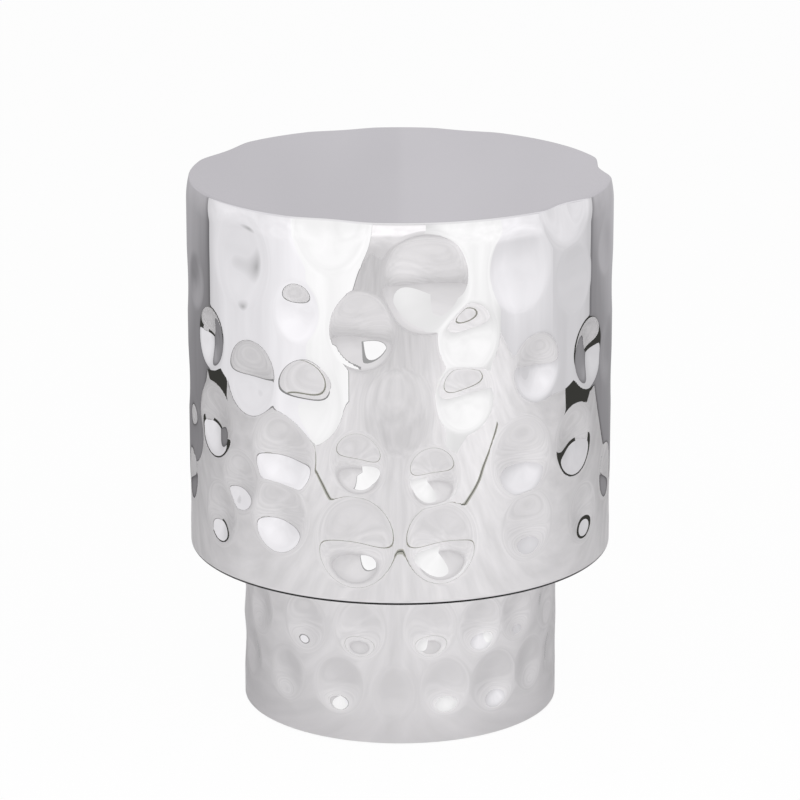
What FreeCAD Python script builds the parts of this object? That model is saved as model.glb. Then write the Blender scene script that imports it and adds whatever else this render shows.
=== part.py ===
import FreeCAD, Part
import math
import os
from collections import namedtuple

from FreeCAD import Vector

# A drum table of hammered sheet steel: a wide drum with a flat top, bolted on a narrower base drum.
# Origin on the floor under the centre, +Z up, -Y towards the front. Millimetres and degrees.

# Overall sizes
table_height = 514.0
drum_diameter = 400.0
rim_height = 156.0
base_diameter = 300.0

# Sheet, plate and board thicknesses
wall_sheet = 1.2
top_plate_thickness = 2.0
backing_board_thickness = 12.0
underside_plate_thickness = 2.0
base_flange_thickness = 3.0
foot_ring_thickness = 2.5

# The drum's lower rim is turned in to carry the underside plate
rim_bend_radius = 2.5
rim_lip_width = 14.0
plain_rim_band = 12.0

# Rings inside the base drum
base_flange_width = 40.0
foot_ring_width = 34.0

# Fit-up gaps
weld_gap = 0.2
board_clearance = 3.0
thread_gap = 0.1

# Floor pads
pad_count = 6
pad_diameter = 24.0
pad_thickness = 5.0
pad_stand = 2.0

# M6 fasteners between the base flange and the underside plate
bolt_count = 6
bolt_diameter = 6.0
bolt_hole_diameter = 6.6
bolt_head_flats = 10.0
bolt_head_height = 4.0
bolt_tail = 2.0
washer_diameter = 12.0
washer_thickness = 1.6
nut_flats = 10.0
nut_height = 5.0

# Cutting the hammer marks: how far a ball's cap stands out of the drum, and marks cut together
cap_stand_out = 4.0
dents_per_cut = 8

# Hammer marks: turn from the front towards +X, place along the drum, opening along the axis, depth.
# The drum's places are drops below the table top, the base's are rises above the base drum's foot.
Dent = namedtuple("Dent", "turn place width depth")

drum_front_dents = [
    Dent(-46.5, 49.0, 76.0, 2.5),
    Dent(6.5, 54.0, 78.0, 5.0),
    Dent(33.0, 49.0, 66.0, 2.5),
    Dent(72.0, 55.0, 46.0, 2.0),
    Dent(52.5, 70.0, 54.0, 3.0),
    Dent(-28.0, 87.0, 50.0, 4.0),
    Dent(-71.0, 87.0, 46.0, 3.0),
    Dent(18.0, 106.0, 55.0, 3.5),
    Dent(-10.0, 100.0, 60.0, 3.5),
    Dent(90.0, 98.0, 58.0, 3.0),
    Dent(-61.0, 133.0, 50.0, 5.0),
    Dent(39.0, 144.0, 54.0, 4.0),
    Dent(61.0, 147.0, 58.0, 5.0),
    Dent(-43.0, 157.0, 58.0, 4.0),
    Dent(17.0, 163.0, 55.0, 3.5),
    Dent(-25.0, 169.0, 66.0, 4.5),
    Dent(76.0, 158.0, 58.0, 4.0),
    Dent(-0.5, 175.0, 70.0, 1.5),
    Dent(91.0, 192.0, 56.0, 3.0),
    Dent(-59.0, 211.0, 60.0, 5.0),
    Dent(-11.0, 224.0, 50.0, 4.0),
    Dent(-32.5, 223.0, 66.0, 5.0),
    Dent(34.0, 227.0, 65.0, 4.5),
    Dent(54.0, 225.0, 58.0, 5.0),
    Dent(8.5, 236.0, 48.0, 4.0),
    Dent(-74.0, 232.0, 54.0, 4.0),
    Dent(-47.5, 260.0, 50.0, 3.5),
    Dent(75.0, 275.0, 50.0, 3.5),
    Dent(-78.0, 280.0, 50.0, 3.5),
    Dent(-34.0, 282.0, 62.0, 5.5),
    Dent(-12.0, 299.0, 72.0, 5.5),
    Dent(11.0, 299.0, 64.0, 5.5),
    Dent(36.0, 293.0, 56.0, 3.5),
    Dent(58.5, 299.0, 50.0, 4.0),
    Dent(-57.0, 298.0, 52.0, 4.0),
    Dent(90.0, 308.0, 50.0, 3.0),
]
drum_edge_dents = [
    Dent(-18.5, 2.0, 80.0, 6.0),
    Dent(49.5, -2.0, 70.0, 7.0),
    Dent(97.5, 10.0, 84.0, 9.0),
    Dent(161.0, 4.0, 68.0, 4.5),
    Dent(-163.0, 4.0, 68.0, 4.5),
    Dent(-119.0, 8.0, 88.0, 7.0),
]
base_front_dents = [
    Dent(-62.0, 108.0, 46.0, 3.5),
    Dent(-36.5, 110.0, 48.0, 3.5),
    Dent(-14.5, 111.0, 50.0, 4.0),
    Dent(11.0, 112.0, 50.0, 4.0),
    Dent(30.5, 110.0, 48.0, 4.0),
    Dent(47.0, 112.0, 44.0, 3.5),
    Dent(68.0, 108.0, 46.0, 3.5),
    Dent(92.0, 108.0, 46.0, 3.0),
    Dent(-70.0, 56.0, 46.0, 3.5),
    Dent(-45.5, 54.0, 46.0, 3.5),
    Dent(-22.5, 54.0, 50.0, 3.5),
    Dent(-2.0, 49.0, 46.0, 1.5),
    Dent(16.5, 54.0, 50.0, 3.5),
    Dent(36.5, 52.0, 52.0, 4.0),
    Dent(55.0, 56.0, 46.0, 3.5),
    Dent(74.0, 55.0, 46.0, 3.5),
    Dent(93.0, 54.0, 46.0, 3.0),
]

# Levels above the floor
base_foot_level = pad_stand
foot_ring_level = pad_thickness
underside_level = rim_height + wall_sheet
flange_level = underside_level - base_flange_thickness
washer_level = flange_level - washer_thickness
nut_level = underside_level + underside_plate_thickness
top_plate_level = table_height - top_plate_thickness
board_level = top_plate_level - backing_board_thickness

# Radii
drum_radius = drum_diameter / 2
drum_inner_radius = drum_radius - wall_sheet
base_radius = base_diameter / 2
base_inner_radius = base_radius - wall_sheet
ring_radius = base_inner_radius - weld_gap
bolt_circle_radius = ring_radius - base_flange_width / 2
pad_circle_radius = ring_radius - foot_ring_width / 2


def disc(radius, level, thickness):
    return Part.makeCylinder(radius, thickness, Vector(0, 0, level))


def ring(outer_radius, inner_radius, level, thickness):
    return disc(outer_radius, level, thickness).cut(disc(inner_radius, level, thickness))


def round_foot(solid, level, radius):
    """Rounds the circular edge that a drum has at the given level."""
    edges = [e for e in solid.Edges if e.BoundBox.ZMax < level + 0.01 and e.Length > radius]
    return solid.makeFillet(radius, edges)


def circle_points(count, radius, level):
    """Points evenly spaced on a circle, the first at the front."""
    points = []
    for index in range(count):
        angle = 2 * math.pi * index / count
        points.append(Vector(radius * math.sin(angle), -radius * math.cos(angle), level))
    return points


def copies_at(solid, points):
    """One compound with a copy of a solid, made at the origin, at each point."""
    copies = []
    for point in points:
        copy = solid.copy()
        copy.translate(point)
        copies.append(copy)
    return Part.makeCompound(copies)


def hexagon(flats, height):
    corner_radius = flats / math.sqrt(3)
    corners = []
    for index in range(7):
        angle = math.radians(60 * index)
        corners.append(Vector(corner_radius * math.cos(angle), corner_radius * math.sin(angle), 0))
    return Part.Face(Part.makePolygon(corners)).extrude(Vector(0, 0, height))


def all_round(front_dents):
    """The front's dents and the same again half a turn away, round the back."""
    return front_dents + [dent._replace(turn=dent.turn + 180) for dent in front_dents]


def at_height(dents, low, high):
    """The dents, their places being heights now, that open clear of both ends of a drum."""
    return [d for d in dents if d.place - d.width / 2 > low and d.place + d.width / 2 < high]


def hammer_cap(radius, dent, growth):
    """The cap of the ball that leaves a dent in a drum of this outside radius."""
    half_width = dent.width / 2
    ball_radius = (half_width ** 2 + dent.depth ** 2) / (2 * dent.depth)
    ball = Part.makeSphere(ball_radius + growth)
    ball.translate(Vector(radius + ball_radius - dent.depth, 0, dent.place))
    side = 2 * (ball_radius + growth)
    corner = Vector(radius + cap_stand_out - side, -side / 2, dent.place - side / 2)
    cap = ball.common(Part.makeBox(side, side, side, corner))
    cap.rotate(Vector(0, 0, 0), Vector(0, 0, 1), dent.turn - 90)
    return cap


def hammered(solid, radius, dents, growth=0.0):
    """A solid of revolution with its dents pressed in a few at a time, deeper by the growth."""
    caps = [hammer_cap(radius, dent, growth) for dent in dents]
    for first in range(0, len(caps), dents_per_cut):
        solid = solid.cut(caps[first:first + dents_per_cut])
    return solid


def save(shape, name):
    solids = shape.Solids
    whole = solids[0] if len(solids) == 1 else Part.makeCompound(solids)
    whole.exportStep("parts/" + name + ".step")
    print(name, len(solids), "solids", round(whole.Volume / 1000, 2), "cm3")


# Dents as heights above the floor
drum_dents = [d._replace(place=table_height - d.place) for d in all_round(drum_front_dents)]
drum_dents = at_height(drum_dents, rim_height + plain_rim_band, table_height)
edge_dents = [d._replace(place=table_height - d.place) for d in drum_edge_dents]
wall_dents = drum_dents + edge_dents
base_dents = [d._replace(place=base_foot_level + d.place) for d in all_round(base_front_dents)]
base_dents = at_height(base_dents, foot_ring_level + foot_ring_thickness, washer_level)
deepest_edge_dent = max(dent.depth for dent in edge_dents)


def make_upper_wall():
    height = top_plate_level - rim_height
    outside = round_foot(disc(drum_radius, rim_height, height), rim_height, rim_bend_radius)
    outside = hammered(outside, drum_radius, wall_dents)
    inside = disc(drum_inner_radius, underside_level, height)
    inside = round_foot(inside, underside_level, rim_bend_radius - wall_sheet)
    inside = hammered(inside, drum_radius, wall_dents, wall_sheet)
    lip_hole = disc(drum_radius - rim_lip_width, rim_height, wall_sheet)
    return outside.cut([inside, lip_hole])


def make_top_plate():
    return hammered(disc(drum_radius, top_plate_level, top_plate_thickness), drum_radius, edge_dents)


def make_backing_board():
    radius = drum_inner_radius - deepest_edge_dent - board_clearance
    return disc(radius, board_level, backing_board_thickness)


def make_base_wall():
    height = underside_level - base_foot_level
    outside = hammered(disc(base_radius, base_foot_level, height), base_radius, base_dents)
    inside = disc(base_inner_radius, base_foot_level, height)
    return outside.cut(hammered(inside, base_radius, base_dents, wall_sheet))


def bolt_holes(level, depth):
    hole = Part.makeCylinder(bolt_hole_diameter / 2, depth)
    return copies_at(hole, circle_points(bolt_count, bolt_circle_radius, level))


def make_underside_plate():
    radius = drum_inner_radius - (rim_bend_radius - wall_sheet) - weld_gap
    plate = disc(radius, underside_level, underside_plate_thickness)
    return plate.cut(bolt_holes(underside_level, underside_plate_thickness))


def make_base_flange():
    flange = ring(ring_radius, ring_radius - base_flange_width, flange_level, base_flange_thickness)
    return flange.cut(bolt_holes(flange_level, base_flange_thickness))


def make_foot_ring():
    return ring(ring_radius, ring_radius - foot_ring_width, foot_ring_level, foot_ring_thickness)


def make_bolts():
    head = hexagon(bolt_head_flats, bolt_head_height)
    grip = washer_thickness + base_flange_thickness + underside_plate_thickness
    shank = Part.makeCylinder(bolt_diameter / 2, bolt_head_height + grip + nut_height + bolt_tail)
    level = washer_level - bolt_head_height
    return copies_at(head.fuse(shank), circle_points(bolt_count, bolt_circle_radius, level))


def make_washers():
    washer = ring(washer_diameter / 2, bolt_hole_diameter / 2, 0, washer_thickness)
    return copies_at(washer, circle_points(bolt_count, bolt_circle_radius, washer_level))


def make_weld_nuts():
    nut = hexagon(nut_flats, nut_height).cut(disc(bolt_diameter / 2 + thread_gap, 0, nut_height))
    return copies_at(nut, circle_points(bolt_count, bolt_circle_radius, nut_level))


os.makedirs("parts", exist_ok=True)
save(make_top_plate(), "top_plate")
save(make_backing_board(), "top_backing_board")
save(make_upper_wall(), "upper_wall")
save(make_underside_plate(), "underside_plate")
save(make_base_wall(), "base_wall")
save(make_base_flange(), "base_top_flange")
save(make_foot_ring(), "base_foot_ring")
save(make_bolts(), "flange_bolts")
save(make_washers(), "flange_washers")
save(make_weld_nuts(), "weld_nuts")
for number, point in enumerate(circle_points(pad_count, pad_circle_radius, 0), 1):
    pad = Part.makeCylinder(pad_diameter / 2, pad_thickness, point)
    save(pad, "floor_pad_" + str(number))
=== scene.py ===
"""Looks of a hammered drum table: two hammered walls, a flat polished top, inner finishes and a studio."""

import math
from collections import namedtuple

import bpy
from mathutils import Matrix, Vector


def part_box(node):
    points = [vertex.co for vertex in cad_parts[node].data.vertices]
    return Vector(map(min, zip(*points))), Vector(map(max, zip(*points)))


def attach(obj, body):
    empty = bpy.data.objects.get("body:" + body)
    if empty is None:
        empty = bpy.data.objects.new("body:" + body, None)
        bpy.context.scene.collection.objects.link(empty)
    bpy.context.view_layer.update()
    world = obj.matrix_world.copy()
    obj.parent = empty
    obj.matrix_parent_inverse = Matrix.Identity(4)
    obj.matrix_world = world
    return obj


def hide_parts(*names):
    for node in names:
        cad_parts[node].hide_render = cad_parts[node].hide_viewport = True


bl_info = {
    "name": "Hammered Drum Table",
    "version": (1, 0, 0),
    "blender": (4, 5, 0),
    "location": "View3D > Sidebar > Drum Table",
    "description": "Dresses the drum table: hammered walls, polished top, inner finishes and studio",
    "category": "Object",
}

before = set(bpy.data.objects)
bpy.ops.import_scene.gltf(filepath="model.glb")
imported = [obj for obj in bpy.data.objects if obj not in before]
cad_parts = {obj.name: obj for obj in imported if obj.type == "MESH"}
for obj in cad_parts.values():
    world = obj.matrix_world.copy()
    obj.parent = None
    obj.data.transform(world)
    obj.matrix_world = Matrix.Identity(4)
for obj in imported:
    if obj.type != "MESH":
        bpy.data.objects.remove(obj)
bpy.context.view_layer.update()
BODY = "root"
MM = 0.001

DRUM_LOW, DRUM_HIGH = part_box("upper_wall")
BASE_LOW, BASE_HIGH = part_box("base_wall")
TOP_LOW, TOP_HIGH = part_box("top_plate")

# Hammer marks, as degrees from the front towards +X and millimetres: height above the wall's lower edge,
# opening along the axis, depth, and the lip, from 1 for a crisp one to 2 for one that runs out smoothly
Dent = namedtuple("Dent", "turn height width depth lip", defaults=(1.7,))
# A dent's opening round the wall, as a share of its opening along the axis
ARC_SHARE = 0.86

DRUM_FRONT_DENTS = [
    Dent(-46.5, 309.0, 92.0, 2.5),
    Dent(7.0, 304.0, 94.0, 5.0, 1.25),
    Dent(33.0, 309.0, 80.0, 1.7, 1.3),
    Dent(72.0, 303.0, 56.0, 2.0),
    Dent(52.5, 288.0, 64.0, 2.0, 1.15),
    Dent(-28.0, 271.0, 60.0, 2.2),
    Dent(-71.0, 271.0, 56.0, 3.0),
    Dent(18.0, 252.0, 67.0, 3.2),
    Dent(-10.0, 258.0, 72.0, 3.2, 1.25),
    Dent(90.0, 260.0, 70.0, 3.0),
    Dent(-61.0, 225.0, 60.0, 5.0),
    Dent(39.0, 214.0, 64.0, 4.0),
    Dent(61.0, 211.0, 70.0, 5.0),
    Dent(-43.0, 201.0, 72.0, 3.0),
    Dent(17.0, 195.0, 66.0, 3.6),
    Dent(-25.0, 189.0, 82.0, 2.0),
    Dent(76.0, 200.0, 70.0, 4.0),
    Dent(-0.5, 183.0, 84.0, 1.2),
    Dent(91.0, 166.0, 68.0, 3.0),
    Dent(-59.0, 147.0, 72.0, 5.0),
    Dent(-11.0, 134.0, 60.0, 4.2),
    Dent(-32.5, 135.0, 80.0, 5.4),
    Dent(34.0, 131.0, 78.0, 4.0),
    Dent(54.0, 133.0, 70.0, 5.0),
    Dent(8.5, 122.0, 58.0, 4.2),
    Dent(-74.0, 126.0, 66.0, 4.0),
    Dent(-47.5, 98.0, 60.0, 3.5),
    Dent(75.0, 83.0, 60.0, 3.5),
    Dent(-78.0, 78.0, 60.0, 3.5),
    Dent(-34.0, 76.0, 76.0, 6.0),
    Dent(-12.0, 59.0, 88.0, 5.5),
    Dent(11.0, 59.0, 78.0, 5.5),
    Dent(36.0, 65.0, 68.0, 3.0),
    Dent(58.5, 59.0, 60.0, 4.0),
    Dent(-56.5, 60.0, 64.0, 4.6),
    Dent(90.0, 50.0, 60.0, 3.0),
]
DRUM_EDGE_DENTS = [
    Dent(-18.5, 356.0, 98.0, 5.5, 2.0),
    Dent(49.5, 360.0, 86.0, 7.0),
    Dent(97.5, 348.0, 104.0, 9.0),
    Dent(161.0, 354.0, 84.0, 4.5),
    Dent(-163.0, 354.0, 84.0, 4.5),
    Dent(-119.0, 350.0, 108.0, 7.0),
]
BASE_FRONT_DENTS = [
    Dent(-62.0, 108.0, 56.0, 4.6),
    Dent(-36.5, 110.0, 58.0, 3.6),
    Dent(-14.5, 111.0, 60.0, 3.8),
    Dent(11.0, 112.0, 60.0, 3.8),
    Dent(30.5, 110.0, 58.0, 4.6),
    Dent(47.0, 112.0, 54.0, 3.9),
    Dent(68.0, 108.0, 56.0, 4.1),
    Dent(92.0, 108.0, 56.0, 3.6),
    Dent(-70.0, 56.0, 56.0, 4.1),
    Dent(-45.5, 54.0, 56.0, 4.3),
    Dent(-22.5, 54.0, 60.0, 4.6),
    Dent(-2.0, 49.0, 56.0, 1.8),
    Dent(16.5, 54.0, 60.0, 4.5),
    Dent(36.5, 52.0, 64.0, 6.0),
    Dent(55.0, 56.0, 56.0, 4.7),
    Dent(74.0, 55.0, 56.0, 4.1),
    Dent(93.0, 54.0, 56.0, 3.6),
]


def all_round(front_dents):
    """The front's dents and the same again half a turn away, round the back."""
    return front_dents + [dent._replace(turn=dent.turn + 180) for dent in front_dents]


DRUM_DENTS = all_round(DRUM_FRONT_DENTS) + DRUM_EDGE_DENTS
BASE_DENTS = all_round(BASE_FRONT_DENTS)

# Mesh of the shells: rows in a bend, and height of the rows inside a wall, in rows of its outside
OUTER_BEND_ROWS = 8
INNER_BEND_ROWS = 4
DRUM_INSIDE_STEP = 8
BASE_INSIDE_STEP = 6
# Points of a shell's seam and poles that lie closer than this are made one
SEAM_GAP = 0.01 * MM
# Edges that turn by more than this are shaded as creases
SHARP_ANGLE = math.radians(40)

# The top plate: rows of its rounded edge, its underside's rim and its upper rings as shares of its radius,
# and the share inside which the dents of the wall no longer shift it
PLATE_EDGE_ROWS = 8
PLATE_UNDERSIDE = 0.9
PLATE_RINGS = (0.97, 0.93, 0.86, 0.6, 0.3)
PLATE_STILL = 0.86

# Slow waves of the sheet: how close they lie, and how much closer up the wall than round it
WAVE_SCALE = 2.6
WAVE_STRETCH = (1.0, 1.0, 5.0)

# Painted shade on the bend of the turned-in rim, a dark line that stands in for the shadowed underside
# the bend mirrors: where it starts below the drum's lower edge, its height and how soon it runs out
RIM_SHADE_START = 0.1 * MM
RIM_SHADE_HEIGHT = 2.4 * MM
RIM_SHADE_FADE = 0.4 * MM
RIM_SHADE_COLOR = (0.03, 0.03, 0.03, 1.0)

# Colours and gloss of the inner pieces
MILL_STEEL = (0.5, 0.5, 0.51)
MILL_ROUGHNESS = 0.38
ZINC = (0.62, 0.63, 0.65)
ZINC_ROUGHNESS = 0.3
RUBBER_DARK = (0.035, 0.035, 0.036, 1.0)
RUBBER_PALE = (0.07, 0.07, 0.072, 1.0)
RUBBER_ROUGHNESS = 0.75
BOARD_DARK = (0.33, 0.22, 0.13, 1.0)
BOARD_PALE = (0.55, 0.41, 0.27, 1.0)
BOARD_ROUGHNESS = 0.85

# Cards that the polished steel mirrors: plan points, levels, tones as (height, tone) pairs, tint, the share
# of the tone that is left at the two ends, how far from an end the tone is full again, and the second end's
# outline from the foot up, as (set back, height) pairs
Card = namedtuple("Card", "name start end low high tones tint ends reach outline",
                  defaults=((1.0, 1.0), 0.14, ((0.0, 0.0),)))
CARD_HEIGHT = 2.4
HEM_HEIGHT = 0.008
NEUTRAL = (1.0, 1.0, 1.0)
BLUSH = (1.0, 0.984, 0.995)
COOL = (0.985, 0.975, 1.0)
MAUVE = (1.0, 0.98, 1.02)
FLAT = [(0.0, 1.1), (0.25, 1.19), (0.6, 1.2), (0.8, 1.07), (2.4, 1.0)]
RIGHT_FLAT = [(0.0, 0.94), (0.12, 1.14), (0.3, 1.2), (0.6, 1.2), (0.8, 1.07), (2.4, 1.0)]
RIGHT_WING = [(0.0, 0.87), (0.1, 1.05), (0.3, 1.18), (0.62, 1.18), (0.8, 1.05), (2.4, 1.0)]
LINE = [(0.0, 0.42), (CARD_HEIGHT, 0.42)]
HEM = [(0.0, 0.3), (HEM_HEIGHT, 0.3)]
LEFT_SIDE = [(0.0, 0.92), (0.2, 0.97), (0.5, 1.05), (0.8, 0.95), (2.4, 0.92)]
RIGHT_SIDE = [(0.0, 0.76), (0.2, 0.79), (0.5, 0.95), (2.4, 0.95)]
LEFT_BACKDROP = [(0.0, 0.1), (0.012, 0.24), (0.15, 0.28), (0.24, 0.39), (0.6, 0.63), (2.4, 0.68)]
RIGHT_BACKDROP = [(0.0, 0.1), (0.012, 0.29), (0.15, 0.34), (0.24, 0.46), (0.6, 0.66), (2.4, 0.70)]
CAMERA_SIDE = [(0.0, 0.75), (0.14, 0.86), (0.28, 0.92), (0.46, 0.96),
               (0.57, 1.24), (0.86, 1.24), (0.96, 0.95), (2.4, 0.88)]
LEFT_OUTLINE = ((0.51, 0.0), (0.11, 0.12), (0.11, 0.23), (0.0, 0.29))
RIGHT_OUTLINE = ((0.2, 0.0), (0.2, 0.13), (0.0, 0.34))
CARDS = [
    Card("left_flat", (-0.95, -0.87), (-0.29, -0.87), 0.0, CARD_HEIGHT, FLAT, NEUTRAL,
         outline=LEFT_OUTLINE),
    Card("left_flat_edge", (-0.95, -0.872), (-0.284, -0.872), 0.0, CARD_HEIGHT, LINE, NEUTRAL,
         outline=LEFT_OUTLINE),
    Card("left_flat_hem", (-0.95, -0.868), (-0.80, -0.868), 0.0, HEM_HEIGHT, HEM, NEUTRAL),
    Card("left_wing", (-1.3, -0.35), (-0.95, -0.87), 0.0, CARD_HEIGHT, FLAT, COOL, (0.84, 1.0), 0.5),
    Card("left_wing_hem", (-1.298, -0.35), (-0.949, -0.868), 0.0, HEM_HEIGHT, HEM, NEUTRAL),
    Card("left_side", (-1.3, 0.66), (-1.3, -0.35), 0.0, CARD_HEIGHT, LEFT_SIDE, COOL, (0.78, 1.0), 0.4),
    Card("left_side_hem", (-1.298, 0.2), (-1.298, -0.35), 0.0, HEM_HEIGHT, HEM, NEUTRAL),
    Card("right_flat", (1.3, -1.02), (0.22, -1.02), 0.0, CARD_HEIGHT, RIGHT_FLAT, NEUTRAL, (1.0, 0.82), 0.2,
         RIGHT_OUTLINE),
    Card("right_wing", (1.3, -1.02), (1.3, -0.15), 0.0, CARD_HEIGHT, RIGHT_WING, COOL, (1.0, 0.79), 0.6),
    Card("right_side", (1.3, -0.15), (1.3, 0.66), 0.0, CARD_HEIGHT, RIGHT_SIDE, COOL, (1.0, 0.85), 0.3),
    # The backdrops' end shares of 0.6 darken them towards the corners with the sides: painted shade
    Card("left_backdrop", (0.0, 0.66), (-1.3, 0.66), 0.0, CARD_HEIGHT, LEFT_BACKDROP, MAUVE, (1.0, 0.6)),
    Card("right_backdrop", (1.3, 0.66), (0.0, 0.66), 0.0, CARD_HEIGHT, RIGHT_BACKDROP, MAUVE, (0.6, 1.0)),
    Card("camera_side", (-1.6, -2.05), (1.6, -2.05), 0.0, CARD_HEIGHT, CAMERA_SIDE, BLUSH),
]
# How far a card's tone strays from plain
CARD_MOTTLE = 0.05

# Soft grey shades before the cards: middle, half width, half height, tone and cover
Shade = namedtuple("Shade", "name middle width height tone cover")
SHADES = [
    Shade("left_shade", (-1.29, -0.08, 0.175), 0.07, 0.065, 0.4, 0.75),
]

# Strips just above the floor, by their four sides and their tone: the front edge of the sweep that the
# table stands on, and the bare floor at its left and right, painted dark as floor in shade
Strip = namedtuple("Strip", "name left right front back tone")
STRIP_LIFT = 0.4 * MM
STRIP_TINT = (1.0, 1.0, 0.9)
FLOOR_STRIPS = [
    Strip("sweep_edge", -1.3, 0.95, -0.814, -0.808, 0.15),
    Strip("sweep_edge_front", -1.3, 0.95, -0.820, -0.814, 0.55),
    Strip("sweep_edge_back", -1.3, 0.95, -0.808, -0.800, 0.55),
    # Painted shade: the bare floor beside the sweep, dark as floor in shadow
    Strip("left_gap", -1.3, -1.13, 0.23, 0.66, 0.05),
    Strip("right_gap", 1.08, 1.3, 0.08, 0.66, 0.05),
]

# Soft lamps: place, the point they face, size in metres and power in watts
Lamp = namedtuple("Lamp", "name location target width height power")
LAMPS = [
    Lamp("left_softbox", (-0.85, -0.86, 0.8), (-0.75, -0.2, 0.0), 0.9, 1.4, 3.0),
    Lamp("right_softbox", (0.87, -1.01, 0.8), (0.75, -0.3, 0.0), 0.9, 1.4, 5.0),
    Lamp("top_softbox", (0.15, -1.7, 2.4), (0.15, -1.7, 0.0), 6.0, 4.0, 75.0),
]

# The floor: its half width, its two colours, its gloss, and how far it shows plain white to the camera
FLOOR_REACH = 9.0
FLOOR_DARK = (0.66, 0.65, 0.656, 1.0)
FLOOR_PALE = (0.98, 0.964, 0.975, 1.0)
FLOOR_ROUGHNESS = 0.6
FLOOR_SPECULAR = 0.2
FLOOR_WHITE = 0.97

# The world's strength: as light on the table, and as the white ground that is seen and mirrored
WORLD_LIGHT = 0.31
WORLD_WHITE = 1.0

SENSOR_WIDTH = 36.0


# Settings that a user would change


class DrumTableHammering(bpy.types.PropertyGroup):
    """How the sheet took the hammer."""

    around: bpy.props.IntProperty(
        name="Columns", description="Mesh columns round a wall", default=512, min=64, max=640)
    row_step: bpy.props.FloatProperty(
        name="Row step", description="Height of a mesh row", default=0.0024, unit="LENGTH")
    ridge_power: bpy.props.FloatProperty(
        name="Ridge power", description="How sharply dents that meet keep apart", default=3.0)
    waviness: bpy.props.FloatProperty(
        name="Waviness", description="Height of the sheet's slow waves between the dents",
        default=0.00025, unit="LENGTH")
    sheet: bpy.props.FloatProperty(
        name="Sheet", description="Thickness of the wall sheet", default=0.0012, unit="LENGTH")
    rim_bend: bpy.props.FloatProperty(
        name="Rim bend", description="Outside radius of the drum's turned-in rim",
        default=0.0025, unit="LENGTH")
    rim_lip: bpy.props.FloatProperty(
        name="Rim lip", description="Width of the turned-in rim", default=0.014, unit="LENGTH")
    top_roll: bpy.props.FloatProperty(
        name="Top roll", description="How far the sheet leans in where it meets the top",
        default=0.0024, unit="LENGTH")
    top_roll_height: bpy.props.FloatProperty(
        name="Top roll height", description="Height over which the sheet leans in", default=0.020,
        unit="LENGTH")


class DrumTableFinish(bpy.types.PropertyGroup):
    """Colours and polish."""

    steel: bpy.props.FloatVectorProperty(
        name="Steel", description="Colour of the polished wall", subtype="COLOR",
        default=(0.80, 0.795, 0.80), min=0, max=1)
    top: bpy.props.FloatVectorProperty(
        name="Top", description="Colour of the polished top", subtype="COLOR",
        default=(0.78, 0.772, 0.785), min=0, max=1)
    polish: bpy.props.FloatProperty(
        name="Polish", description="Roughness of the polished walls", default=0.006, min=0, max=1)
    top_polish: bpy.props.FloatProperty(
        name="Top polish", description="Roughness of the polished top", default=0.12, min=0, max=1)


class DrumTableStudio(bpy.types.PropertyGroup):
    """Place, tilt and lens of the camera."""

    camera_distance: bpy.props.FloatProperty(
        name="Camera distance", description="Along the floor, from the table's axis",
        default=3.523, unit="LENGTH")
    camera_rise: bpy.props.FloatProperty(
        name="Camera rise", description="Above the table top", default=0.8226, unit="LENGTH")
    camera_pitch: bpy.props.FloatProperty(
        name="Camera pitch", description="Downward tilt", default=math.radians(16.511),
        subtype="ANGLE")
    lens: bpy.props.FloatProperty(
        name="Lens", description="Focal length on a 36 mm sensor, in millimetres", default=173.97)


# Node helpers


def plug(tree, value, socket):
    """Links a socket, or sets a plain value, on an input."""
    if isinstance(value, bpy.types.NodeSocket):
        tree.links.new(value, socket)
    else:
        socket.default_value = value


def add_node(tree, kind, inputs=(), **settings):
    """A node with its settings made first, then its inputs by name or number."""
    node = tree.nodes.new(kind)
    for name, value in settings.items():
        setattr(node, name, value)
    for key, value in dict(inputs).items():
        plug(tree, value, node.inputs[key])
    return node


def math_node(tree, operation, *values):
    """The result of a sum on numbers."""
    node = add_node(tree, "ShaderNodeMath", enumerate(values), operation=operation)
    return node.outputs[0]


def vector_node(tree, operation, *values):
    """The results of a sum on vectors, as Vector and Value."""
    node = add_node(tree, "ShaderNodeVectorMath", enumerate(values), operation=operation)
    return node.outputs


def mix_color(tree, factor, first, second):
    """A mix of two colours, by socket number, because the names repeat for each data type."""
    inputs = {0: factor, 6: first, 7: second}
    return add_node(tree, "ShaderNodeMix", inputs, data_type="RGBA").outputs[2]


def map_range(tree, value, low, high, to_low, to_high):
    """A value carried from one range to another and held at its ends."""
    inputs = enumerate((value, low, high, to_low, to_high))
    return add_node(tree, "ShaderNodeMapRange", inputs).outputs[0]


def object_place(tree):
    """The Object coordinates of a material."""
    return tree.nodes.new("ShaderNodeTexCoord").outputs["Object"]


def height_of(tree, place):
    """The Z of a place."""
    return add_node(tree, "ShaderNodeSeparateXYZ", {0: place}).outputs["Z"]


# The hammered shell: a profile turned round the axis, with the dents pressed into it


SHELL_NAME = "Hammered shell"


def sample_at(tree, geometry, field, index, data_type="FLOAT"):
    """A value read from one point of a geometry."""
    inputs = {"Geometry": geometry, "Value": field, "Index": index}
    return add_node(tree, "GeometryNodeSampleIndex", inputs, data_type=data_type).outputs[0]


def named_value(tree, name):
    """A number that a mesh carries under a name."""
    node = add_node(tree, "GeometryNodeInputNamedAttribute", {"Name": name}, data_type="FLOAT")
    return node.outputs["Attribute"]


def point_count(tree, geometry):
    """How many points a mesh has."""
    node = add_node(tree, "GeometryNodeAttributeDomainSize", {"Geometry": geometry})
    return node.outputs["Point Count"]


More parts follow.
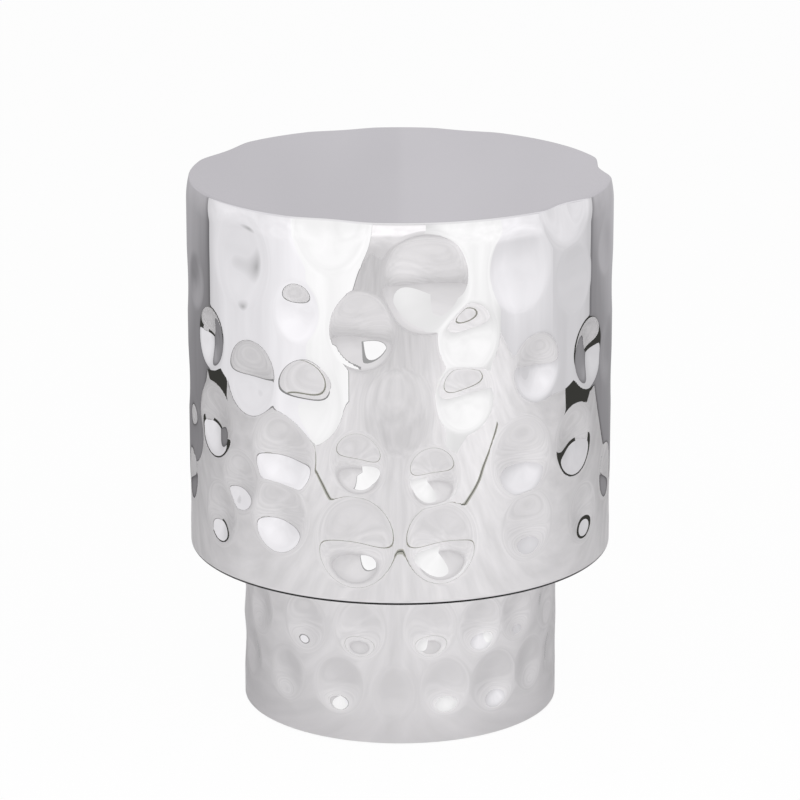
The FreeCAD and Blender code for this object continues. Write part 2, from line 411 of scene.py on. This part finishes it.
def hammered_shell_tree():
    """Geometry nodes that turn a profile round the axis and press the dents into it."""
    tree = bpy.data.node_groups.new(SHELL_NAME, "GeometryNodeTree")
    inputs = {
        "Dents": "NodeSocketGeometry",
        "Profile": "NodeSocketObject",
        "Columns": "NodeSocketInt",
        "Radius": "NodeSocketFloat",
        "Ridge power": "NodeSocketFloat",
        "Waviness": "NodeSocketFloat",
        "Material": "NodeSocketMaterial",
    }
    for name, kind in inputs.items():
        tree.interface.new_socket(name, in_out="INPUT", socket_type=kind)
    tree.interface.new_socket("Shell", in_out="OUTPUT", socket_type="NodeSocketGeometry")
    given = tree.nodes.new("NodeGroupInput").outputs
    dents = given["Dents"]

    profile_info = add_node(tree, "GeometryNodeObjectInfo", {"Object": given["Profile"]})
    profile = profile_info.outputs["Geometry"]
    rows = point_count(tree, profile)
    columns_and_seam = math_node(tree, "ADD", given["Columns"], 1)
    grid = add_node(tree, "GeometryNodeMeshGrid",
                    {"Vertices X": columns_and_seam, "Vertices Y": rows})

    index = tree.nodes.new("GeometryNodeInputIndex").outputs[0]
    column = math_node(tree, "FLOOR", math_node(tree, "DIVIDE", index, rows))
    row = math_node(tree, "SUBTRACT", index, math_node(tree, "MULTIPLY", column, rows))
    turn = math_node(tree, "MULTIPLY", math_node(tree, "DIVIDE", column, given["Columns"]), math.tau)
    position = tree.nodes.new("GeometryNodeInputPosition").outputs[0]
    place = sample_at(tree, profile, position, row, "FLOAT_VECTOR")
    follow = sample_at(tree, profile, named_value(tree, "follow"), row)
    place = add_node(tree, "ShaderNodeSeparateXYZ", {0: place})
    height = place.outputs["Z"]

    # One pass for each dent: a bowl that runs out at its lip, added to the rest by powers
    first = tree.nodes.new("GeometryNodeRepeatInput")
    last = tree.nodes.new("GeometryNodeRepeatOutput")
    first.pair_with_output(last)
    last.repeat_items.clear()
    last.repeat_items.new("FLOAT", "Powers")
    plug(tree, point_count(tree, dents), first.inputs["Iterations"])
    number = first.outputs["Iteration"]

    def of_dent(name):
        """A size of the dent whose turn it is."""
        return sample_at(tree, dents, named_value(tree, name), number)

    swing = math_node(tree, "SUBTRACT", turn, of_dent("turn"))
    swing = math_node(tree, "WRAP", swing, math.pi, -math.pi)
    along = math_node(tree, "MULTIPLY", swing, given["Radius"])
    along = math_node(tree, "DIVIDE", along, of_dent("half_arc"))
    up = math_node(tree, "SUBTRACT", height, of_dent("height"))
    up = math_node(tree, "DIVIDE", up, of_dent("half_height"))
    away = math_node(tree, "ADD", math_node(tree, "MULTIPLY", along, along),
                     math_node(tree, "MULTIPLY", up, up))
    bowl = math_node(tree, "MAXIMUM", math_node(tree, "SUBTRACT", 1.0, away), 0.0)
    bowl = math_node(tree, "POWER", bowl, of_dent("lip"))
    bowl = math_node(tree, "MULTIPLY", bowl, math_node(tree, "DIVIDE", of_dent("depth"), MM))
    powers = math_node(tree, "ADD", first.outputs["Powers"],
                       math_node(tree, "POWER", bowl, given["Ridge power"]))
    plug(tree, powers, last.inputs["Powers"])
    sunk = math_node(tree, "POWER", last.outputs["Powers"],
                     math_node(tree, "DIVIDE", 1.0, given["Ridge power"]))
    sunk = math_node(tree, "MULTIPLY", sunk, MM)

    # Slow waves that hand-rolled sheet keeps between the dents
    sine = math_node(tree, "SINE", turn)
    cosine = math_node(tree, "COSINE", turn)
    wave_place = add_node(tree, "ShaderNodeCombineXYZ", {0: sine, 1: cosine, 2: height})
    stretched = vector_node(tree, "MULTIPLY", wave_place.outputs[0], WAVE_STRETCH)["Vector"]
    waves = add_node(tree, "ShaderNodeTexNoise",
                     {"Vector": stretched, "Scale": WAVE_SCALE, "Detail": 1.0})
    wave = math_node(tree, "MULTIPLY", math_node(tree, "SUBTRACT", waves.outputs[0], 0.5),
                     given["Waviness"])
    sunk = math_node(tree, "ADD", sunk, wave)

    radius = math_node(tree, "SUBTRACT", place.outputs["X"], math_node(tree, "MULTIPLY", follow, sunk))
    turned = add_node(tree, "ShaderNodeCombineXYZ", {
        "X": math_node(tree, "MULTIPLY", radius, sine),
        "Y": math_node(tree, "MULTIPLY", math_node(tree, "MULTIPLY", radius, cosine), -1.0),
        "Z": height})
    shell = add_node(tree, "GeometryNodeSetPosition",
                     {"Geometry": grid.outputs["Mesh"], "Position": turned.outputs[0]})
    shell = add_node(tree, "GeometryNodeMergeByDistance",
                     {"Geometry": shell.outputs[0], "Distance": SEAM_GAP})
    shell = add_node(tree, "GeometryNodeRealizeInstances", {"Geometry": shell.outputs[0]})
    shell = add_node(tree, "GeometryNodeSetMaterial",
                     {"Geometry": shell.outputs[0], "Material": given["Material"]})
    finished = tree.nodes.new("NodeGroupOutput")
    plug(tree, shell.outputs[0], finished.inputs["Shell"])
    return tree


def dent_points(name, dents, low):
    """A mesh of loose points that carries the sizes of a wall's dents as attributes."""
    mesh = bpy.data.meshes.new(name)
    mesh.from_pydata([(0, 0, 0)] * len(dents), [], [])
    columns = {
        "turn": [math.radians(dent.turn) for dent in dents],
        "height": [low + dent.height * MM for dent in dents],
        "half_height": [dent.width * MM / 2 for dent in dents],
        "half_arc": [dent.width * MM / 2 * ARC_SHARE for dent in dents],
        "depth": [dent.depth * MM for dent in dents],
        "lip": [dent.lip for dent in dents],
    }
    for column, values in columns.items():
        mesh.attributes.new(column, "FLOAT", "POINT").data.foreach_set("value", values)
    return mesh


def profile_object(points):
    """A helper with one vertex for each (radius, height, follow) of a profile."""
    mesh = bpy.data.meshes.new("profile")
    mesh.from_pydata([(radius, 0, height) for radius, height, follow in points], [], [])
    follows = [follow for radius, height, follow in points]
    mesh.attributes.new("follow", "FLOAT", "POINT").data.foreach_set("value", follows)
    return bpy.data.objects.new("profile", mesh)


def set_input(modifier, name, value):
    """Sets a modifier's input by its socket's identifier."""
    for item in modifier.node_group.interface.items_tree:
        if item.name == name and item.in_out == "INPUT":
            modifier[item.identifier] = value
            return
    raise KeyError(name)


def hammered_shell(name, profile, dents, low, radius, material):
    """A closed shell made by the hammered shell nodes, as a plain mesh object at the origin."""
    settings = bpy.context.scene.drum_hammering
    piece = bpy.data.objects.new(name, dent_points(name + "_dents", dents, low))
    helper = profile_object(profile)
    for thing in (piece, helper):
        bpy.context.scene.collection.objects.link(thing)
    modifier = piece.modifiers.new(SHELL_NAME, "NODES")
    modifier.node_group = bpy.data.node_groups.get(SHELL_NAME) or hammered_shell_tree()
    values = {
        "Profile": helper,
        "Columns": settings.around,
        "Radius": radius,
        "Ridge power": settings.ridge_power,
        "Waviness": settings.waviness,
        "Material": material,
    }
    for input_name, value in values.items():
        set_input(modifier, input_name, value)
    graph = bpy.context.evaluated_depsgraph_get()
    mesh = bpy.data.meshes.new_from_object(piece.evaluated_get(graph), depsgraph=graph)
    piece.modifiers.clear()
    used_meshes = (piece.data, helper.data)
    piece.data = mesh
    bpy.data.objects.remove(helper)
    for used in used_meshes:
        bpy.data.meshes.remove(used)
    mesh.name = name
    mesh.shade_smooth()
    mesh.set_sharp_from_angle(angle=SHARP_ANGLE)
    if len(mesh.polygons) == 0:
        raise RuntimeError(name + " came out empty")
    return piece


# Profiles, as (radius, height, follow), where follow is how far a point shifts with the dents


def even_steps(start, end, step):
    """Values from start to end, both kept, about a step apart."""
    count = max(1, round(abs(end - start) / step))
    return [start + (end - start) * index / count for index in range(count + 1)]


def bend_points(radius, low, bend, arc, rows):
    """A quarter turn of the given arc, from a flat foot up into an upright wall."""
    points = []
    for index in range(rows + 1):
        angle = math.pi / 2 * index / rows
        points.append((radius - bend + arc * math.sin(angle), low + bend - arc * math.cos(angle), 0.0))
    return points


def wall_profile(radius, low, high, settings):
    """A plain sheet wall: up the outside, over the edge and down the inside."""
    step = settings.row_step
    outside = [(radius, height, 1.0) for height in even_steps(low, high, step)]
    inside_heights = even_steps(high, low, step * BASE_INSIDE_STEP)
    inside = [(radius - settings.sheet, height, 1.0) for height in inside_heights]
    return outside + inside + outside[:1]


def rimmed_wall_profile(radius, low, high, settings):
    """A sheet wall whose foot is turned in: lip, bend, outside, edge, inside, bend and lip again."""
    bend = settings.rim_bend
    sheet = settings.sheet
    step = settings.row_step
    lip = radius - settings.rim_lip

    def leaning(wall_radius, height):
        """A point of the wall, which leans in near its upper edge."""
        share = max(0.0, height - high + settings.top_roll_height) / settings.top_roll_height
        return (wall_radius - settings.top_roll * share ** 2, height, 1.0)

    outer_bend = bend_points(radius, low, bend, bend, OUTER_BEND_ROWS)
    inner_bend = bend_points(radius, low, bend, bend - sheet, INNER_BEND_ROWS)
    outside = [leaning(radius, height) for height in even_steps(low + bend, high, step)]
    inside_heights = even_steps(high, low + bend, step * DRUM_INSIDE_STEP)
    inside = [leaning(radius - sheet, height) for height in inside_heights]
    under = [(lip, low, 0.0), (lip + sheet, low, 0.0)]
    above = [(lip, low + sheet, 0.0), (lip, low, 0.0)]
    return under + outer_bend[:-1] + outside + inside + inner_bend[-2::-1] + above


def plate_profile(radius, low, high, lean):
    """A flat disc whose edge carries the wall's lean on and rounds over into the top."""
    bend = (high - low) / (1 - math.sin(lean))
    middle = radius - bend * math.cos(lean)
    points = [(0.0, low, 0.0), (radius * PLATE_UNDERSIDE, low, 0.0)]
    for index in range(PLATE_EDGE_ROWS + 1):
        angle = lean + (math.pi / 2 - lean) * index / PLATE_EDGE_ROWS
        points.append((middle + bend * math.cos(angle), high - bend + bend * math.sin(angle), 1.0))
    for share in PLATE_RINGS:
        follow = max(0.0, (share - PLATE_STILL) / (1 - PLATE_STILL))
        points.append((radius * share, high, follow))
    return points + [(0.0, high, 0.0)]


# Materials of the table


def new_material(name, metallic, roughness):
    """A material, its node tree, its shader's inputs and the Object coordinates."""
    material = bpy.data.materials.new(name)
    material.use_nodes = True
    tree = material.node_tree
    shader = tree.nodes["Principled BSDF"]
    shader.inputs["Metallic"].default_value = metallic
    shader.inputs["Roughness"].default_value = roughness
    return material, tree, shader.inputs, object_place(tree)


def noise(tree, place, scale, detail=2.0, stretch=(1.0, 1.0, 1.0)):
    """Noise on Object coordinates, stretched along an axis where its value is under 1."""
    mapping = add_node(tree, "ShaderNodeMapping", {"Vector": place, "Scale": stretch})
    inputs = {"Vector": mapping.outputs[0], "Scale": scale, "Detail": detail}
    return add_node(tree, "ShaderNodeTexNoise", inputs).outputs[0]


def noise_between(tree, value, low, high):
    """Noise, which lies mostly between 0.3 and 0.7, carried to a range of its own."""
    return map_range(tree, value, 0.3, 0.7, low, high)


def blended(tree, first, second, share):
    """Two noises added, with the given share of the first."""
    return math_node(tree, "ADD", math_node(tree, "MULTIPLY", first, share),
                     math_node(tree, "MULTIPLY", second, 1.0 - share))


def bump(tree, height, strength, distance):
    """A surface raised a little by a height."""
    inputs = {"Height": height, "Strength": strength, "Distance": distance}
    return add_node(tree, "ShaderNodeBump", inputs).outputs[0]


def shaded(color, factor):
    """A colour made darker or lighter, with its alpha."""
    return (color[0] * factor, color[1] * factor, color[2] * factor, 1.0)


def hammered_steel():
    """Mirror polish with a faint haze, fine upright wheel marks and a painted shade line at the bend of the
    drum's rim.
    """
    finish = bpy.context.scene.drum_finish
    material, tree, inputs, place = new_material("hammered_wall_finish", 1.0, finish.polish)
    cloud = noise(tree, place, scale=9.0, detail=3.0)
    marks = noise(tree, place, scale=260.0, stretch=(1.0, 1.0, 0.06))
    peel = noise(tree, place, scale=30.0, detail=1.0)
    height = height_of(tree, place)
    # Painted shade: a dark line on the rim's bend, in place of the shadowed underside that it mirrors
    rim_shade_top = DRUM_LOW.z + RIM_SHADE_HEIGHT
    above = map_range(tree, height, DRUM_LOW.z - RIM_SHADE_START, DRUM_LOW.z, 0.0, 1.0)
    below = map_range(tree, height, rim_shade_top, rim_shade_top + RIM_SHADE_FADE, 1.0, 0.0)
    rim = math_node(tree, "MULTIPLY", above, below)
    steel = mix_color(tree, cloud, shaded(finish.steel, 0.97), shaded(finish.steel, 1.03))
    plug(tree, mix_color(tree, rim, steel, RIM_SHADE_COLOR), inputs["Base Color"])
    haze = blended(tree, cloud, marks, 0.6)
    plug(tree, noise_between(tree, haze, finish.polish * 0.6, finish.polish * 1.5), inputs["Roughness"])
    plug(tree, bump(tree, peel, strength=0.05, distance=0.0004), inputs["Normal"])
    return material


def polished_top():
    """Flat polish, hazier than the walls, with faint straight lines of the finishing belt."""
    finish = bpy.context.scene.drum_finish
    material, tree, inputs, place = new_material("table_top_finish", 1.0, finish.top_polish)
    cloud = noise(tree, place, scale=5.0)
    belt = noise(tree, place, scale=320.0, stretch=(0.03, 1.0, 1.0))
    steel = mix_color(tree, cloud, shaded(finish.top, 0.985), shaded(finish.top, 1.015))
    plug(tree, steel, inputs["Base Color"])
    gloss = noise_between(tree, belt, finish.top_polish * 0.8, finish.top_polish * 1.2)
    plug(tree, gloss, inputs["Roughness"])
    return material


def plain_steel(name, color, roughness):
    """Unpolished steel with rolling marks and uneven gloss."""
    material, tree, inputs, place = new_material(name, 1.0, roughness)
    marks = noise(tree, place, scale=180.0, detail=3.0, stretch=(0.05, 1.0, 1.0))
    cloud = noise(tree, place, scale=14.0, detail=3.0)
    plug(tree, mix_color(tree, cloud, shaded(color, 0.85), shaded(color, 1.1)), inputs["Base Color"])
    plug(tree, noise_between(tree, marks, roughness * 0.8, roughness * 1.25), inputs["Roughness"])
    plug(tree, bump(tree, marks, strength=0.15, distance=0.0002), inputs["Normal"])
    return material


def pad_rubber():
    """Matt black rubber with a fine moulded grain."""
    material, tree, inputs, place = new_material("pad_rubber_finish", 0.0, RUBBER_ROUGHNESS)
    grain = noise(tree, place, scale=900.0, detail=3.0)
    plug(tree, mix_color(tree, grain, RUBBER_DARK, RUBBER_PALE), inputs["Base Color"])
    plug(tree, bump(tree, grain, strength=0.4, distance=0.0002), inputs["Normal"])
    return material


def fibre_board():
    """Raw pressed board: brown fibres, lighter flecks, no gloss."""
    material, tree, inputs, place = new_material("fibre_board", 0.0, BOARD_ROUGHNESS)
    fibres = noise(tree, place, scale=420.0, detail=4.0)
    cloud = noise(tree, place, scale=25.0)
    grain = blended(tree, fibres, cloud, 0.7)
    plug(tree, mix_color(tree, grain, BOARD_DARK, BOARD_PALE), inputs["Base Color"])
    plug(tree, bump(tree, fibres, strength=0.3, distance=0.0003), inputs["Normal"])
    return material


# Operators that make the table's pieces


def adopt(piece, slot, *nodes):
    """The piece rides on the table and stands for its CAD nodes; its slot is not used."""
    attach(piece, BODY)
    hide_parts(*nodes)


def shared_material(name, maker):
    """The material of that name, made the first time it is asked for."""
    return bpy.data.materials.get(name) or maker()


class DRUMTABLE_OT_upper_wall(bpy.types.Operator):
    """Make the wide hammered drum"""

    bl_idname = "drumtable.upper_wall"
    bl_label = "Hammered Drum"

    def execute(self, context):
        radius = DRUM_HIGH.x
        profile = rimmed_wall_profile(radius, DRUM_LOW.z, DRUM_HIGH.z, context.scene.drum_hammering)
        steel = shared_material("hammered_wall_finish", hammered_steel)
        wall = hammered_shell("hammered_drum", profile, DRUM_DENTS, DRUM_LOW.z, radius, steel)
        adopt(wall, "hammered_steel", "upper_wall")
        return {"FINISHED"}


class DRUMTABLE_OT_base_wall(bpy.types.Operator):
    """Make the narrower hammered drum of the base"""

    bl_idname = "drumtable.base_wall"
    bl_label = "Hammered Base"

    def execute(self, context):
        radius = BASE_HIGH.x
        profile = wall_profile(radius, BASE_LOW.z, BASE_HIGH.z, context.scene.drum_hammering)
        steel = shared_material("hammered_wall_finish", hammered_steel)
        wall = hammered_shell("hammered_base", profile, BASE_DENTS, BASE_LOW.z, radius, steel)
        adopt(wall, "hammered_steel", "base_wall")
        return {"FINISHED"}


class DRUMTABLE_OT_top(bpy.types.Operator):
    """Make the flat polished top, its edge following the hammered wall"""

    bl_idname = "drumtable.top"
    bl_label = "Polished Top"

    def execute(self, context):
        settings = context.scene.drum_hammering
        radius = DRUM_HIGH.x
        lean = math.atan(2 * settings.top_roll / settings.top_roll_height)
        profile = plate_profile(radius - settings.top_roll, TOP_LOW.z, TOP_HIGH.z, lean)
        polish = shared_material("table_top_finish", polished_top)
        top = hammered_shell("polished_table_top", profile, DRUM_DENTS, DRUM_LOW.z, radius, polish)
        adopt(top, "polished_top", "top_plate")
        return {"FINISHED"}


class DRUMTABLE_OT_inner_finishes(bpy.types.Operator):
    """Finish the plates, rings, fasteners, board and pads inside the table"""

    bl_idname = "drumtable.inner_finishes"
    bl_label = "Inner Finishes"

    def execute(self, context):
        mill = plain_steel("mill_steel", MILL_STEEL, MILL_ROUGHNESS)
        zinc = plain_steel("zinc_plate", ZINC, ZINC_ROUGHNESS)
        finishes = {
            "underside_plate": mill,
            "base_top_flange": mill,
            "base_foot_ring": mill,
            "flange_bolts": zinc,
            "flange_washers": zinc,
            "weld_nuts": zinc,
            "top_backing_board": fibre_board(),
        }
        rubber = pad_rubber()
        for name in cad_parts:
            if name.startswith("floor_pad"):
                finishes[name] = rubber
        for name, material in finishes.items():
            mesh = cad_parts[name].data
            mesh.materials.clear()
            mesh.materials.append(material)
        return {"FINISHED"}


# The studio


def mix_shaders(tree, share, first, second):
    """Two shaders mixed, with the given share of the second."""
    return add_node(tree, "ShaderNodeMixShader", {0: share, 1: first, 2: second}).outputs[0]


def floor_material():
    """Pale floor that shows white to the camera and keeps the table's shadow."""
    material, tree, inputs, place = new_material("studio_floor", 0.0, FLOOR_ROUGHNESS)
    streaks = noise(tree, place, scale=18.0, detail=4.0, stretch=(1.0, 0.3, 1.0))
    plug(tree, mix_color(tree, streaks, FLOOR_DARK, FLOOR_PALE), inputs["Base Color"])
    inputs["Specular IOR Level"].default_value = FLOOR_SPECULAR
    seen = tree.nodes.new("ShaderNodeLightPath").outputs["Is Camera Ray"]
    white = tree.nodes.new("ShaderNodeEmission").outputs[0]
    floor = tree.nodes["Principled BSDF"].outputs[0]
    blend = mix_shaders(tree, math_node(tree, "MULTIPLY", seen, FLOOR_WHITE), floor, white)
    plug(tree, blend, tree.nodes["Material Output"].inputs["Surface"])
    return material


def bare_material(name):
    """A material without a shader, its node tree and its surface socket."""
    material = bpy.data.materials.new(name)
    material.use_nodes = True
    tree = material.node_tree
    tree.nodes.clear()
    surface = tree.nodes.new("ShaderNodeOutputMaterial").inputs["Surface"]
    return material, tree, surface


def tone_ramp(tree, factor, stops):
    """A colour ramp of grey tones, as (place, tone) pairs."""
    node = add_node(tree, "ShaderNodeValToRGB", {0: factor})
    ramp = node.color_ramp
    while len(ramp.elements) < len(stops):
        ramp.elements.new(1.0)
    for element, (place, tone) in zip(ramp.elements, stops):
        element.position = place
        element.color = (tone, tone, tone, 1.0)
    return node.outputs[0]


def card_material(card):
    """Glow of a card: its tones by height, in metres, under its tint, and weaker towards its ends."""
    material, tree, surface = bare_material(card.name)
    place = object_place(tree)
    height = height_of(tree, place)
    rise = card.high - card.low
    stops = [((level - card.low) / rise, tone) for level, tone in card.tones]
    tone = tone_ramp(tree, map_range(tree, height, card.low, card.high, 0.0, 1.0), stops)
    tinted = vector_node(tree, "MULTIPLY", tone, card.tint)["Vector"]
    shares = []
    for (x, y), share in zip((card.start, card.end), card.ends):
        corner = add_node(tree, "ShaderNodeCombineXYZ", {0: x, 1: y, 2: height})
        away = vector_node(tree, "DISTANCE", place, corner.outputs[0])["Value"]
        shares.append(map_range(tree, away, 0.0, card.reach, share, 1.0))
    cloud = noise(tree, place, scale=5.0, detail=3.0)
    mottle = noise_between(tree, cloud, 1.0 - CARD_MOTTLE, 1.0 + CARD_MOTTLE)
    strength = math_node(tree, "MULTIPLY", math_node(tree, "MULTIPLY", *shares), mottle)
    glow = add_node(tree, "ShaderNodeEmission", {"Color": tinted, "Strength": strength})
    plug(tree, glow.outputs[0], surface)
    return material


def shade_material(shade):
    """A grey that thins out from the middle of a shade to its edge."""
    material, tree, surface = bare_material(shade.name)
    off = vector_node(tree, "SUBTRACT", object_place(tree), shade.middle)["Vector"]
    scale = (0.0, 1.0 / shade.width, 1.0 / shade.height)
    off = vector_node(tree, "MULTIPLY", off, scale)["Vector"]
    away = vector_node(tree, "LENGTH", off)["Value"]
    cover = map_range(tree, away, 0.0, 1.0, shade.cover, 0.0)
    clear = tree.nodes.new("ShaderNodeBsdfTransparent").outputs[0]
    glow = add_node(tree, "ShaderNodeEmission", {"Strength": shade.tone}).outputs[0]
    plug(tree, mix_shaders(tree, cover, clear, glow), surface)
    return material


def strip_material(strip):
    """Plain glow of a strip."""
    material, tree, surface = bare_material(strip.name)
    glow = add_node(tree, "ShaderNodeEmission", {"Color": shaded(STRIP_TINT, strip.tone)})
    plug(tree, glow.outputs[0], surface)
    return material


def face_mesh(name, points):
    """One flat face through the points."""
    mesh = bpy.data.meshes.new(name)
    mesh.from_pydata(points, [], [tuple(range(len(points)))])
    return mesh


def card_mesh(card):
    """An upright card between two points of the plan, its second end cut to its outline."""
    start = Vector((*card.start, card.low))
    end = Vector((*card.end, card.low))
    up = Vector((0, 0, card.high - card.low))
    back = (start - end).normalized()
    side = [end + back * set_back + Vector((0, 0, rise)) for set_back, rise in card.outline]
    top = end + back * card.outline[-1][0] + up
    return face_mesh(card.name, [start, *side, top, start + up])


def shade_mesh(shade):
    """An upright rectangle that faces the table from the side."""
    x, y, z = shade.middle
    corners = ((-1, -1), (1, -1), (1, 1), (-1, 1))
    points = [(x, y + across * shade.width, z + up * shade.height) for across, up in corners]
    return face_mesh(shade.name, points)


def level_mesh(name, left, right, front, back, height):
    """A level rectangle."""
    corners = ((left, front), (right, front), (right, back), (left, back))
    return face_mesh(name, [(x, y, height) for x, y in corners])


def add_stage_object(name, mesh, material):
    """A thing of the studio, which isn't part of the table."""
    thing = bpy.data.objects.new(name, mesh)
    mesh.materials.append(material)
    bpy.context.scene.collection.objects.link(thing)
    return thing


def add_card(name, mesh, material):
    """A card that only mirrors see: no camera, light or shadow of its own."""
    card = add_stage_object(name, mesh, material)
    card.visible_camera = False
    card.visible_diffuse = False
    card.visible_shadow = False


def add_lamp(lamp):
    """A soft rectangular lamp that faces its target."""
    light = bpy.data.lights.new(lamp.name, "AREA")
    light.shape = "RECTANGLE"
    light.size = lamp.width
    light.size_y = lamp.height
    light.energy = lamp.power
    thing = bpy.data.objects.new(lamp.name, light)
    bpy.context.scene.collection.objects.link(thing)
    thing.location = lamp.location
    aim = Vector(lamp.target) - Vector(lamp.location)
    thing.rotation_euler = aim.to_track_quat("-Z", "Y").to_euler()
    thing.visible_camera = False
    thing.visible_glossy = False


def set_world():
    """White where it is seen or mirrored, and a plain soft light on the table."""
    world = bpy.data.worlds.new("studio_world")
    bpy.context.scene.world = world
    world.use_nodes = True
    tree = world.node_tree
    background = tree.nodes["Background"].inputs
    rays = tree.nodes.new("ShaderNodeLightPath").outputs
    shown = math_node(tree, "MAXIMUM", rays["Is Camera Ray"], rays["Is Glossy Ray"])
    background["Color"].default_value = (1.0, 1.0, 1.0, 1.0)
    plug(tree, map_range(tree, shown, 0.0, 1.0, WORLD_LIGHT, WORLD_WHITE), background["Strength"])


def add_camera():
    """The camera, straight before the table and tilted down to it."""
    scene = bpy.context.scene
    studio = scene.drum_studio
    camera = bpy.data.objects.new("photo_camera", bpy.data.cameras.new("photo_camera"))
    scene.collection.objects.link(camera)
    camera.data.lens = studio.lens
    camera.data.sensor_width = SENSOR_WIDTH
    camera.location = (0.0, -studio.camera_distance, TOP_HIGH.z + studio.camera_rise)
    camera.rotation_euler = (math.pi / 2 - studio.camera_pitch, 0.0, 0.0)
    scene.camera = camera


class DRUMTABLE_OT_studio(bpy.types.Operator):
    """Make the floor, cards, lamps and camera"""

    bl_idname = "drumtable.studio"
    bl_label = "Studio"

    def execute(self, context):
        context.scene.view_settings.view_transform = "Standard"
        floor = level_mesh("studio_floor", -FLOOR_REACH, FLOOR_REACH, -FLOOR_REACH, FLOOR_REACH, 0.0)
        add_stage_object("studio_floor", floor, floor_material())
        for strip in FLOOR_STRIPS:
            mesh = level_mesh(strip.name, strip.left, strip.right, strip.front, strip.back, STRIP_LIFT)
            add_card(strip.name, mesh, strip_material(strip))
        for card in CARDS:
            add_card(card.name, card_mesh(card), card_material(card))
        for shade in SHADES:
            add_card(shade.name, shade_mesh(shade), shade_material(shade))
        for lamp in LAMPS:
            add_lamp(lamp)
        set_world()
        add_camera()
        return {"FINISHED"}


class DRUMTABLE_PT_panel(bpy.types.Panel):
    """Lists the table's pieces and settings"""

    bl_idname = "DRUMTABLE_PT_panel"
    bl_label = "Hammered Drum Table"
    bl_space_type = "VIEW_3D"
    bl_region_type = "UI"
    bl_category = "Drum Table"

    def draw(self, context):
        layout = self.layout
        for operator in OPERATORS:
            layout.operator(operator.bl_idname)
        for group_name in GROUPS:
            group = getattr(context.scene, group_name)
            for name in group.__annotations__:
                layout.prop(group, name)


GROUPS = {
    "drum_hammering": DrumTableHammering,
    "drum_finish": DrumTableFinish,
    "drum_studio": DrumTableStudio,
}
OPERATORS = (
    DRUMTABLE_OT_upper_wall,
    DRUMTABLE_OT_base_wall,
    DRUMTABLE_OT_top,
    DRUMTABLE_OT_inner_finishes,
    DRUMTABLE_OT_studio,
)


def register():
    """Adds the settings to the scene, then the operators and the panel."""
    for name, group in GROUPS.items():
        bpy.utils.register_class(group)
        setattr(bpy.types.Scene, name, bpy.props.PointerProperty(type=group))
    for item in (*OPERATORS, DRUMTABLE_PT_panel):
        bpy.utils.register_class(item)


def unregister():
    """Takes everything out again."""
    for item in (DRUMTABLE_PT_panel, *reversed(OPERATORS)):
        bpy.utils.unregister_class(item)
    for name, group in GROUPS.items():
        delattr(bpy.types.Scene, name)
        bpy.utils.unregister_class(group)


def main():
    """Makes the pieces and the studio in order."""
    register()
    bpy.ops.drumtable.upper_wall()
    bpy.ops.drumtable.base_wall()
    bpy.ops.drumtable.top()
    bpy.ops.drumtable.inner_finishes()
    bpy.ops.drumtable.studio()


if __name__ == "__main__":
    main()
